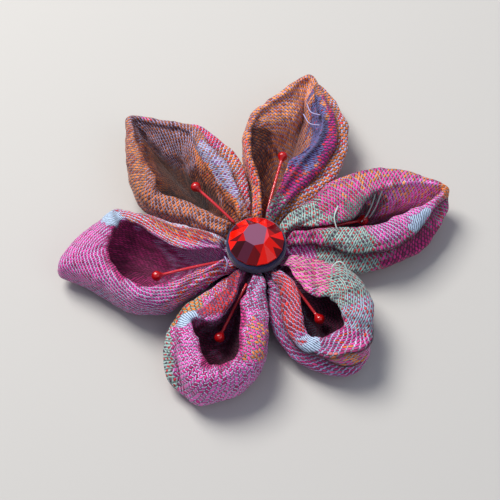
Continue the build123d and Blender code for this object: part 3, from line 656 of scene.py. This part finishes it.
# Distance in the cloth to a fold's line, and how far along the line the nearest point lies
def foldReach(petal, fold, u, v, levels):
    startRow, startLevel, endRow, endLevel = fold[:4]
    around, across = u.shape[0], u.shape[1] - 1

    def chartPoint(row, level):
        station = int(round(row / len(petal["rim"]) * around)) % around
        step = int(round(level / levels * across))
        return u[station, step], v[station, step]

    (u0, v0), (u1, v1) = chartPoint(startRow, startLevel), chartPoint(endRow, endLevel)
    du, dv = u1 - u0, v1 - v0
    share = np.clip(((u - u0) * du + (v - v0) * dv) / (du * du + dv * dv), 0, 1)
    return np.hypot(u - u0 - share * du, v - v0 - share * dv), share


# How much of the groove under the brim a place lies in: it is there where the hem stands out
def grooveShare(row, across, making):
    doubled = np.clip((row["hem"] - row["brim"]) / 0.8, 0, 1)[:, None]
    return doubled * np.exp(-(((across - making["grooveLevel"]) / making["grooveWidth"]) ** 2))


# Waves, pleats by the stone, the groove and the named folds. They fade out where the section ends.
def clothWave(petal, row, grid, u, v, seed, making):
    steps = grid.shape[1] - 1
    share = np.arange(steps + 1) / steps
    window = smoothStep(share, 0.0, 0.12) * (1 - smoothStep(share, 0.86, 0.97))
    reach = np.hypot(grid[..., 0], grid[..., 1])
    high, length, *setIn = making["softFolds"]
    height = high * softNoise(u, v, seed, length) * smoothStep(reach, *setIn)
    high, length, *setIn = making["crinkle"]
    height += high * softNoise(u, v, seed + 20, length) * smoothStep(reach, *setIn)
    bend, bendLength = making["gatherBend"]
    high, length, *setIn = making["gather"]
    pleat = np.sin(2 * pi * v / length + bend * softNoise(u, v, seed + 30, bendLength))
    height += high * pleat * smoothStep(reach, *setIn) * (1 - smoothStep(reach, *making["gatherEnd"]))
    height -= making["groove"] * grooveShare(row, making["levels"] * share, making)
    for fold in petal["folds"]:
        away, along = foldReach(petal, fold, u, v, making["levels"])
        fade = 0.35 + 0.65 * np.sin(pi * along)
        height += fold[5] * np.exp(-(away / fold[4]) ** 2) * fade
    return grid + gridNormals(grid) * (height * window)[..., None]


# The dye colours at every point, darkened by painted shade in the pockets, in the groove under the brim
# and along valley folds. Their last channels carry the cover and the share of odd floats.
def paintPatches(petal, row, place, across, u, v, height, seed, making):
    count = len(petal["rim"])
    wobble = making["patchWobble"][0] * softNoise(u, v, seed + 50, making["patchWobble"][1])
    # Painted shade: the dye colours are darkened low in the pockets, where occlusion would fall
    low, high, darkest = petal["depthShade"]
    shade = darkest + (1 - darkest) * smoothStep(height, low, high)
    # Painted shadow in the groove under the brim
    grooveShade = 1 - making["grooveShade"] * grooveShare(row, across, making)
    shade = np.where(across < making["shadedTo"], shade, grooveShade)
    # Painted shade along the valley folds
    for fold in petal["folds"]:
        away = foldReach(petal, fold, u, v, making["levels"])[0]
        shade *= 1 + min(0, fold[5]) * making["foldShade"] * np.exp(-(away / fold[4]) ** 2)
    shade = shade[..., None]
    start = dict(zip(swatchColumns, swatches[petal["base"]]))
    tones = {key: np.ones(place.shape + (3,)) * linear(start[key]) for key in swatchColumns[:3]}
    shares = {key: np.full(place.shape, start[key]) for key in swatchColumns[3:]}
    for at, level, wide, deep, name in petal["patches"]:
        swatch = dict(zip(swatchColumns, swatches[name]))
        offset = (place - at + count / 2) % count - count / 2
        distance = np.hypot(offset / wide, (across - level) / deep) + wobble
        weight = 1 - smoothStep(distance, *making["patchEdge"])
        for key in tones:
            tones[key] += (np.array(linear(swatch[key])) - tones[key]) * weight[..., None]
        for key in shares:
            shares[key] += (swatch[key] - shares[key]) * weight
    return {
        "grainDyeAndShade": np.concatenate([tones["grain"] * shade, shares["cover"][..., None]], 2),
        "threadDyeAndShade": np.concatenate([tones["thread"] * shade, shares["flecks"][..., None]], 2),
        "fleckDyeAndShade": np.concatenate([tones["fleck"] * shade, np.ones(place.shape + (1,))], 2),
    }


# The yarn of all six petals. Pairs are what a value is at one end and at the other.
yarn = {
    "roughness": 0.66,
    "sheen": 0.12,
    "specular": 0.3,
    "wander": 0.4,
    "coverSpread": 0.24,  # how far the cover differs from grain to grain
    "grainWide": (0.93, 0.12),  # share of its cell when bare, and when covered
    "grainLong": (0.90, 0.15),
    "grainRound": (2.2, 3.0),  # how square it is across and along
    "grainEdge": (0.10, 0.42),
    "strands": 1.4,  # fine parallel threads to a row
    "strandsFrom": (0.25, 0.4),
    "tick": (0.5, 0.85),  # where the pale thread crosses between two grains
    "tickLoss": 0.6,
    "loose": (0.12, 0.5),
    "grainTone": (0.70, 0.62),  # darkest grain, and how far the others rise above it
    # painted shade: grains darker at their edges and lighter on top, thread darker in the gaps
    "grainShade": (0.3, 1.12),  # at the edge of a grain, and on top
    "threadShade": (0.12, 1.16),
    "threadHeight": 0.6,
    "bump": 0.9,
}


# Grains of thick coloured yarn in a brick layout, with the pale thread crossing between them.
# Where the cover is high the grains shrink and fine parallel threads show instead. Painted shade darkens
# each grain towards its edge and the thread in the gaps between grains.
def wovenMaterial(name, weave, yarn):
    finish = {"Roughness": yarn["roughness"], "Specular_IOR_Level": yarn["specular"]}
    material, tree, shader = newMaterial(name, **finish, Sheen_Weight=yarn["sheen"], Sheen_Roughness=0.4)
    width, length = weave["pitch"]
    turn = radians(weave["turn"])

    operations = ("MULTIPLY", "MULTIPLY_ADD", "SUBTRACT", "FLOOR", "ABSOLUTE", "MAXIMUM")
    mul, mulAdd, minus, floor, absolute, larger = (partial(doMath, tree, name) for name in operations)

    def powerOf(a, power):
        return doMath(tree, "POWER", absolute(a), power)

    def ramp(value, low, high, ends=(0.0, 1.0)):
        return smoothBetween(tree, value, low, high, *ends)

    # Place in the cloth, swayed a little, then in rows and floats
    chart = tree.nodes.new("ShaderNodeUVMap")
    chart.uv_map = "weave"
    wander = addNode(tree, "ShaderNodeTexNoise", Vector=chart.outputs[0], Scale=yarn["wander"], Detail=3.0)
    parts = addNode(tree, "ShaderNodeSeparateXYZ", Vector=chart.outputs[0])
    sway = addNode(tree, "ShaderNodeSeparateXYZ", Vector=wander.outputs["Color"])
    u = mulAdd(sway.outputs[0], weave["sway"], parts.outputs[0])
    v = mulAdd(sway.outputs[1], weave["sway"], parts.outputs[1])
    rows = mulAdd(u, cos(turn) / width, mul(v, sin(turn) / width))
    floats = mulAdd(v, cos(turn) / length, mul(u, -sin(turn) / length))
    row = floor(rows)
    sideways = mulAdd(minus(rows, row), 2.0, -1.0)
    zigzag = doMath(tree, "PINGPONG", rows, 1.0)
    shifted = mulAdd(zigzag, weave["zigzag"], mulAdd(sideways, weave["slant"], mulAdd(row, 0.5, floats)))
    column = floor(shifted)
    lengthways = mulAdd(minus(shifted, column), 2.0, -1.0)
    cell = addNode(tree, "ShaderNodeCombineXYZ", X=row, Y=column)
    chance = addNode(tree, "ShaderNodeTexWhiteNoise", Vector=cell.outputs[0])
    lot = addNode(tree, "ShaderNodeSeparateXYZ", Vector=chance.outputs["Color"])
    shadedDyeNames = ("grainDyeAndShade", "threadDyeAndShade", "fleckDyeAndShade")
    grainDyeAndShade, threadDyeAndShade, fleckDyeAndShade = (attributeNode(tree, dye) for dye in shadedDyeNames)

    # The grain's dome
    spread = yarn["coverSpread"]
    covered = minus(grainDyeAndShade.outputs["Alpha"], spread / 2)
    cover = mulAdd(lot.outputs[0], spread, covered)
    halfWide = ramp(cover, 0.0, 0.9, yarn["grainWide"])
    halfLong = ramp(cover, 0.0, 0.9, yarn["grainLong"])
    roundAcross, roundAlong = yarn["grainRound"]
    acrossGrain = powerOf(doMath(tree, "DIVIDE", sideways, halfWide), roundAcross)
    alongGrain = powerOf(doMath(tree, "DIVIDE", lengthways, halfLong), roundAlong)
    dome = minus(1.0, doMath(tree, "ADD", acrossGrain, alongGrain))
    dome = doMath(tree, "SQRT", larger(dome, 0.0))
    grainMask = ramp(dome, *yarn["grainEdge"])

    # The pale thread around it
    fine = absolute(doMath(tree, "SINE", mul(rows, yarn["strands"] * pi)))
    coarse = absolute(sideways)
    finer = ramp(cover, *yarn["strandsFrom"])
    strands = mulAdd(minus(fine, coarse), finer, coarse)
    tick = mul(ramp(absolute(lengthways), *yarn["tick"]), mulAdd(finer, -yarn["tickLoss"], 1.0))
    threadLift = larger(tick, mul(strands, ramp(cover, *yarn["loose"])))

    # Colour with painted shade on the grains and the thread, and height
    isFleck = doMath(tree, "LESS_THAN", lot.outputs[1], threadDyeAndShade.outputs["Alpha"])
    grain = blendColours(tree, isFleck, grainDyeAndShade.outputs["Color"], fleckDyeAndShade.outputs["Color"])
    darkest, rise = yarn["grainTone"]
    grainShade = mul(mulAdd(lot.outputs[2], rise, darkest), ramp(dome, 0.1, 0.9, yarn["grainShade"]))
    threadShade = ramp(threadLift, 0.1, 0.8, yarn["threadShade"])
    bare = minus(1.0, grainMask)
    shade = doMath(tree, "ADD", mul(grainShade, grainMask), mul(threadShade, bare))
    colour = blendColours(tree, grainMask, threadDyeAndShade.outputs["Color"], grain)
    grey = addNode(tree, "ShaderNodeCombineXYZ", X=shade, Y=shade, Z=shade)
    shaded = blendColours(tree, 1.0, colour, grey.outputs[0], "MULTIPLY")
    tree.links.new(shaded, shader.inputs["Base Color"])
    height = larger(mul(threadLift, yarn["threadHeight"]), dome)
    addBump(tree, shader, height, weave["relief"] * mm, yarn["bump"])
    return material


def addPetal(petal, making, seed):
    around, across = making["around"], making["across"]
    row, place = rimStations(petal["rim"], around)
    share = np.minimum(np.arange(around), around - np.arange(around)) / (around // 2)
    controls = sectionPoints(row, keelLine(petal["floor"], share), making)
    grid = np.einsum("sc,ncx->nsx", splineWeights(controls.shape[1], across), controls)
    stride = np.linalg.norm(np.roll(grid, -1, 0) - grid, axis=2).mean(1)
    rise = np.linalg.norm(np.diff(grid, axis=1), axis=2)
    crest = int(across * making["crestLevel"] / making["levels"])
    v = np.concatenate([np.zeros((around, 1)), np.cumsum(rise, 1)], 1)
    v -= v[:, crest:crest + 1]
    u = np.broadcast_to(np.concatenate([[0], np.cumsum(stride)])[:-1, None], v.shape)
    grid = clothWave(petal, row, grid, u, v, seed, making)
    level = np.broadcast_to(np.linspace(0, making["levels"], across + 1), v.shape)
    place = np.broadcast_to(place[:, None], v.shape)
    shadedDyes = paintPatches(petal, row, place, level, u, v, grid[..., 2], seed, making)

    # The section's ends meet along the floor's middle line, so the two sides share those points
    index = np.arange(around * (across + 1)).reshape(around, across + 1)
    mirror = np.minimum(np.arange(around), around - np.arange(around))
    for column in (0, across):
        index[:, column] = index[mirror, column]
    following = np.roll(index, -1, 0)
    quads = np.stack([index[:, :-1], following[:, :-1], following[:, 1:], index[:, 1:]], 2).reshape(-1, 4)
    used, quads = np.unique(quads, return_inverse=True)
    quads = quads.reshape(-1, 4)
    points = grid.reshape(-1, 3)[used] * mm
    material = wovenMaterial(petal["node"].replace("petal_", "cloth_"), petal["weave"], yarn)
    piece = meshPiece(petal["node"] + "_cloth", points.tolist(), quads.tolist(), material)
    for name, values in shadedDyes.items():
        paint(piece, name, "POINT", values.reshape(-1, 4)[used])
    nextU = np.concatenate([u[1:], u[:1] + stride.sum()], 0)
    nextV = np.roll(v, -1, 0)
    corners = [
        (u[:, :-1], v[:, :-1]),
        (nextU[:, :-1], nextV[:, :-1]),
        (nextU[:, 1:], nextV[:, 1:]),
        (u[:, 1:], v[:, 1:]),
    ]
    chart = np.stack([np.stack(corner, 2) for corner in corners], 2).reshape(-1, 2)
    piece.data.uv_layers.new(name="weave").data.foreach_set("uv", chart.astype(np.float32).ravel())
    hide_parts(petal["node"])


for number, petal in enumerate(petals):
    addPetal(petal, petalMaking, 10 + number)
    print("petal made:", petal["node"])

# The cut stone: radii and heights in millimetres. The glints inside it and the reflections on its table
# are painted light: tones on the facets, which run anticlockwise from the corner at 35 degrees: each main
# facet has a tone towards the table, one at its clockwise side, one at the girdle and one at its other side.
stoneCut = {
    "sides": 8,
    "turn": 35,
    "tableRadius": 2.7,
    "girdleRadius": 5.8,
    "tableHeight": 12.7,
    "girdleTop": 9.95,
    "girdleBottom": 9.6,
    "girdleShare": 11.25,
    "culetRadius": 0.35,
    "culetHeight": 6.3,
    "windowSplit": (0, 6),  # corners between which the table shows its two tones
    "finish": {"Roughness": 0.08, "Coat_Weight": 0.25, "Coat_Roughness": 0.02, "IOR": 1.5},
    "glint": 0.25,
    "mains": (
        ("blaze", "ember", "ember", "blaze"),
        ("garnet", "blaze", "ember", "wine"),
        ("blaze", "ember", "garnet", "blaze"),
        ("ember", "garnet", "blaze", "wine"),
        ("plum", "plum", "plum", "plum"),
        ("ember", "garnet", "blaze", "blaze"),
        ("blaze", "blaze", "garnet", "blaze"),
        ("ember", "blaze", "blaze", "garnet"),
    ),
    "tips": ("garnet", "ember", "blaze", "blaze", "wine", "garnet", "blaze", "garnet"),
    "tones": {
        "mauve": (0.52, 0.32, 0.42),
        "rose": (0.86, 0.24, 0.28),
        "plum": (0.34, 0.12, 0.20),
        "wine": (0.22, 0.02, 0.05),
        "garnet": (0.44, 0.02, 0.05),
        "ember": (0.76, 0.03, 0.03),
        "blaze": (1.0, 0.09, 0.02),
    },
}


def ringPoints(radius, angles, height):
    return [(radius * cos(radians(a)), radius * sin(radians(a)), height) for a in angles]


def addStone(cut):
    sides = cut["sides"]
    corners = [cut["turn"] + 360 / sides * k for k in range(sides)]
    girdle = [corner + turn for corner in corners for turn in (-cut["girdleShare"], cut["girdleShare"])]
    points = ringPoints(cut["tableRadius"], corners, cut["tableHeight"])
    points += ringPoints(cut["girdleRadius"], girdle, cut["girdleTop"])
    points += ringPoints(cut["girdleRadius"], girdle, cut["girdleBottom"])
    points += ringPoints(cut["culetRadius"], corners, cut["culetHeight"])
    upper, lower, culet = sides, 3 * sides, 5 * sides
    first, last = cut["windowSplit"]
    faces = [tuple(range(first, last + 1)), (*range(last, sides), first)]
    tones = ["mauve", "rose"]
    for k in range(sides):
        following = (k + 1) % sides
        left, right, beyond = 2 * k, 2 * k + 1, (2 * k + 2) % (2 * sides)
        outline = (following, k, upper + right, upper + beyond)
        middle = len(points)
        points.append(tuple(sum(points[corner][axis] for corner in outline) / 4 for axis in range(3)))
        for turn in range(4):
            faces.append((outline[turn], outline[(turn + 1) % 4], middle))
        faces.append((k, upper + left, upper + right))
        faces.append((culet + k, lower + right, lower + left))
        faces.append((culet + k, culet + following, lower + beyond, lower + right))
        faces.append((upper + left, lower + left, lower + right, upper + right))
        faces.append((upper + right, lower + right, lower + beyond, upper + beyond))
        tones += [*cut["mains"][k], cut["tips"][k], "garnet", "garnet", "ember", "ember"]
    faces.append(tuple(culet + sides - 1 - k for k in range(sides)))
    tones.append("garnet")
    material, tree, shader = newMaterial("red_glass", **cut["finish"], Specular_IOR_Level=cut["glint"])
    # painted glints and reflections: the facet tones are the base colour
    tree.links.new(attributeNode(tree, "facet").outputs["Color"], shader.inputs["Base Color"])
    piece = meshPiece("stone_cut", np.array(points) * mm, faces, material, smooth=False)
    colours = [[*linear(cut["tones"][tone]), 1] for tone, face in zip(tones, faces) for _ in face]
    paint(piece, "facet", "CORNER", colours)
    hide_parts("stone")


addStone(stoneCut)
print("stone cut")

# Stamens: foot and middle of the bead head, in millimetres
stamens = {
    "stemRadius": 0.3,
    "beadRadius": 1.1,
    "beadLength": 2.7,
    "bow": 0.2,
    "sides": 28,
    "rings": (20, 12, 14),  # along the stem, where it swells, and over the bead's end
    "finish": {"Roughness": 0.22, "Coat_Weight": 0.5, "Coat_Roughness": 0.08},
    "pitting": (900.0, 0.00004, 0.4),
    "stemColour": (0.84, 0.20, 0.24),
    "beadColour": (0.72, 0.04, 0.06),
    "places": {
        "stamen_top": ((2.3, 9.2, 6.3), (5.8, 23.3, 6.6)),
        "stamen_right": ((7.2, 3.6, 6.1), (22.9, 8.1, 5.0)),
        "stamen_lower_right": ((6.2, -6.2, 6.2), (13.0, -15.6, 4.75)),
        "stamen_lower_left": ((-2.0, -8.4, 6.6), (-7.5, -20.3, 5.8)),
        "stamen_left": ((-7.6, -2.5, 5.6), (-20.6, -7.0, 7.6)),
        "stamen_upper_left": ((-4.6, 7.0, 5.6), (-12.9, 14.6, 7.9)),
    },
}


def stamenMaterial(settings):
    material, tree, shader = newMaterial("red_bead", **settings["finish"])
    tree.links.new(attributeNode(tree, "lacquer").outputs["Color"], shader.inputs["Base Color"])
    scale, depth, strength = settings["pitting"]
    grain = addNode(tree, "ShaderNodeTexNoise", Scale=scale, Detail=2.0)
    addBump(tree, shader, grain.outputs[0], depth, strength)
    return material


# Points and faces of a round tube with closed ends, turned from side towards rise at each place
def tube(middle, radius, side, rise, sides):
    turns = np.linspace(0, 2 * pi, sides, endpoint=False)[None, :, None]
    rings = middle[:, None] + radius * (np.cos(turns) * side + np.sin(turns) * rise)
    index = np.arange(len(middle) * sides).reshape(-1, sides)
    onward = np.roll(index, -1, 1)
    faces = np.stack([index[:-1], onward[:-1], onward[1:], index[1:]], 2).reshape(-1, 4).tolist()
    faces += [index[0][::-1].tolist(), index[-1].tolist()]
    return rings.reshape(-1, 3) * mm, faces


# A thin stem with a bow in it that swells into the bead head
def addStamen(name, foot, bead, settings, material):
    foot, bead = np.array(foot), np.array(bead)
    reach = np.linalg.norm(bead - foot)
    ahead = (bead - foot) / reach
    side = np.cross(ahead, (0, 0, 1))
    side /= np.linalg.norm(side)
    rise = np.cross(side, ahead)
    neck = reach + settings["beadRadius"] - settings["beadLength"]
    stemRings, swellRings, headRings = settings["rings"]
    stem = np.linspace(0, neck, stemRings)[:-1]
    swell = neck + (reach - neck) * np.linspace(0, 1, swellRings)[:-1]
    head = reach + settings["beadRadius"] * np.sin(np.linspace(0, pi / 2, headRings))
    lengths = np.concatenate([stem, swell, head])
    flare = smoothStep(lengths, neck, reach)
    radii = settings["stemRadius"] + (settings["beadRadius"] - settings["stemRadius"]) * flare
    dome = np.clip((lengths - reach) / settings["beadRadius"], 0, 1)
    radii = np.maximum(radii * np.sqrt(1 - dome**2), 0.002)
    sag = settings["bow"] * np.sin(np.clip(lengths / neck, 0, 1) * pi)
    middle = foot + lengths[:, None] * ahead + sag[:, None] * rise
    points, faces = tube(middle, radii[:, None, None], side, rise, settings["sides"])
    piece = meshPiece(name + "_lacquered", points, faces, material)
    share = np.repeat(smoothStep(lengths, neck - 0.4, reach - 0.4), settings["sides"])[:, None]
    stemColour, beadColour = (np.array(linear(settings[part])) for part in ("stemColour", "beadColour"))
    colours = stemColour * (1 - share) + beadColour * share
    paint(piece, "lacquer", "POINT", np.column_stack([colours, np.ones(len(colours))]))
    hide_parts(name)


lacquer = stamenMaterial(stamens)
for name, (foot, bead) in stamens["places"].items():
    addStamen(name, foot, bead, stamens, lacquer)
print("stamens made")

# Loose ends of yarn that stand off the cloth: points along each in millimetres
looseThreads = {
    "radius": 0.14,
    "roughness": 0.7,
    "sides": 8,
    "steps": 8,
    "yarns": {"mint": ((0.76, 0.85, 0.82), "mint_cloth"), "lavender": ((0.66, 0.64, 0.80), "orange_cloth")},
    "ends": (
        ("mint", (15.6, -9.0, 10.4), (15.5, -7.6, 12.3), (16.9, -6.8, 13.2), (18.3, -7.8, 12.4),
         (18.6, -9.6, 10.6)),
        ("mint", (25.6, 13.2, 10.9), (25.0, 11.0, 8.6), (23.8, 8.8, 6.4), (22.4, 7.2, 5.6)),
        ("mint", (27.0, 13.0, 10.6), (25.6, 10.2, 7.2), (24.2, 8.6, 5.0)),
        ("mint", (17.2, 8.0, 10.8), (16.4, 5.6, 10.2), (16.9, 3.6, 9.0)),
        ("lavender", (-6.6, -2.6, 7.8), (-6.4, -3.6, 9.2), (-6.0, -4.8, 8.8), (-6.4, -5.6, 7.2)),
        ("lavender", (11.4, 36.6, 7.6), (12.2, 34.0, 8.2), (14.0, 31.4, 10.8)),
        ("lavender", (10.6, 34.6, 6.6), (11.8, 31.6, 7.4), (13.8, 28.8, 10.6)),
    ),
}


def addLooseThread(name, points, material, settings):
    ends = np.array([points[0], *points, points[-1]])
    t = np.linspace(0, 1, settings["steps"], endpoint=False)[:, None]
    bends = [curveBetween(*four, t) for four in zip(ends, ends[1:], ends[2:], ends[3:])]
    middle = np.concatenate([*bends, ends[-1:]])
    ahead = np.gradient(middle, axis=0)
    side = np.cross(ahead, (0.3, 0.2, 1.0))
    side /= np.linalg.norm(side, axis=1, keepdims=True)
    rise = np.cross(side, ahead / np.linalg.norm(ahead, axis=1, keepdims=True))
    points, faces = tube(middle, settings["radius"], side[:, None], rise[:, None], settings["sides"])
    meshPiece(name, points, faces, material)


yarnMaterials = {
    name: newMaterial("yarn_" + name, Roughness=looseThreads["roughness"], Base_Color=colour)[0]
    for name, (colour, slot) in looseThreads["yarns"].items()
}
for number, (name, *points) in enumerate(looseThreads["ends"], 1):
    addLooseThread("loose_thread_" + str(number), points, yarnMaterials[name], looseThreads)
print("loose threads made")

# Felt and steel keep their CAD shapes
felts = {
    "stone_seat": {"slot": "navy_felt", "colour": (0.07, 0.08, 0.25), "fleck": (0.13, 0.14, 0.33)},
    "backing_disc": {"slot": "backing_felt", "colour": (0.10, 0.10, 0.20), "fleck": (0.18, 0.18, 0.30)},
}
wool = {
    "finish": {"Roughness": 0.9, "Sheen_Weight": 0.4, "Sheen_Roughness": 0.5},
    "fibres": 2600.0,
    "clouds": 500.0,
    "flecked": (0.45, 0.7),
    "bump": (0.0002, 0.8),
}


def feltMaterial(name, settings, wool):
    material, tree, shader = newMaterial(name, **wool["finish"])
    place = tree.nodes.new("ShaderNodeTexCoord").outputs["Object"]
    fibres = addNode(tree, "ShaderNodeTexNoise", Vector=place, Scale=wool["fibres"], Detail=4.0, Roughness=0.7)
    cloud = addNode(tree, "ShaderNodeTexNoise", Vector=place, Scale=wool["clouds"], Detail=2.0)
    share = smoothBetween(tree, fibres.outputs[0], *wool["flecked"])
    colour = blendColours(tree, share, settings["colour"], settings["fleck"])
    colour = blendColours(tree, cloud.outputs[0], colour, settings["colour"])
    tree.links.new(colour, shader.inputs["Base Color"])
    addBump(tree, shader, fibres.outputs[0], *wool["bump"])
    return material


steel = {
    "finish": {"Metallic": 1.0, "Roughness": 0.34, "Base_Color": (0.76, 0.76, 0.77)},
    "heading": petalMaking["pinHeading"],  # the brush marks run along the prongs
    "marks": (400, 9000, 4000),
    "roughness": (0.28, 0.46),
    "bump": (0.00002, 0.5),
}


def steelMaterial(settings):
    material, tree, shader = newMaterial("brushed_steel", **settings["finish"])
    place = tree.nodes.new("ShaderNodeTexCoord").outputs["Object"]
    along = (0, 0, -radians(settings["heading"]))
    stretch = addNode(tree, "ShaderNodeMapping", Vector=place, Rotation=along, Scale=settings["marks"])
    brush = addNode(tree, "ShaderNodeTexNoise", Vector=stretch.outputs[0], Scale=1.0, Detail=3.0)
    roughness = smoothBetween(tree, brush.outputs[0], 0.3, 0.7, *settings["roughness"])
    tree.links.new(roughness, shader.inputs["Roughness"])
    addBump(tree, shader, brush.outputs[0], *settings["bump"])
    return material


def dress(node, material):
    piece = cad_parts[node]
    piece.data.materials.clear()
    piece.data.materials.append(material)


for node, settings in felts.items():
    dress(node, feltMaterial(settings["slot"], settings, wool))
dress("hair_pin", steelMaterial(steel))
print("felt and steel dressed")

# Plain pale floor and soft light
studio = {
    "floor": {"Base_Color": (0.76, 0.75, 0.73), "Roughness": 0.85},
    "floorSize": 3,
    "world": (0.86, 0.90, 1.0),
    "worldStrength": 0.34,
    "key": {"place": (-0.26, 0.28, 0.52), "size": 0.32, "power": 5.4, "colour": (1.0, 0.98, 0.95)},
    "fill": {"place": (0.4, -0.3, 0.5), "size": 0.5, "power": 0.7, "colour": (0.92, 0.95, 1.0)},
}


def addStudio(settings):
    bpy.ops.mesh.primitive_plane_add(size=settings["floorSize"], location=(0, 0, 0))
    floor = bpy.context.object
    floor.name = "floor"
    floor.data.materials.append(newMaterial("floor", **settings["floor"])[0])
    world = bpy.data.worlds.new("world")
    world.use_nodes = True
    back = world.node_tree.nodes["Background"]
    back.inputs[0].default_value = [*linear(settings["world"]), 1]
    back.inputs[1].default_value = settings["worldStrength"]
    bpy.context.scene.world = world
    for name in ("key", "fill"):
        lamp = settings[name]
        data = bpy.data.lights.new(name, "AREA")
        data.size = lamp["size"]
        data.energy = lamp["power"]
        data.color = lamp["colour"]
        light = bpy.data.objects.new(name, data)
        light.location = lamp["place"]
        light.rotation_euler = (-Vector(lamp["place"])).to_track_quat("-Z", "Y").to_euler()
        bpy.context.scene.collection.objects.link(light)


addStudio(studio)
bpy.context.scene.view_settings.view_transform = "Standard"
print("studio set")
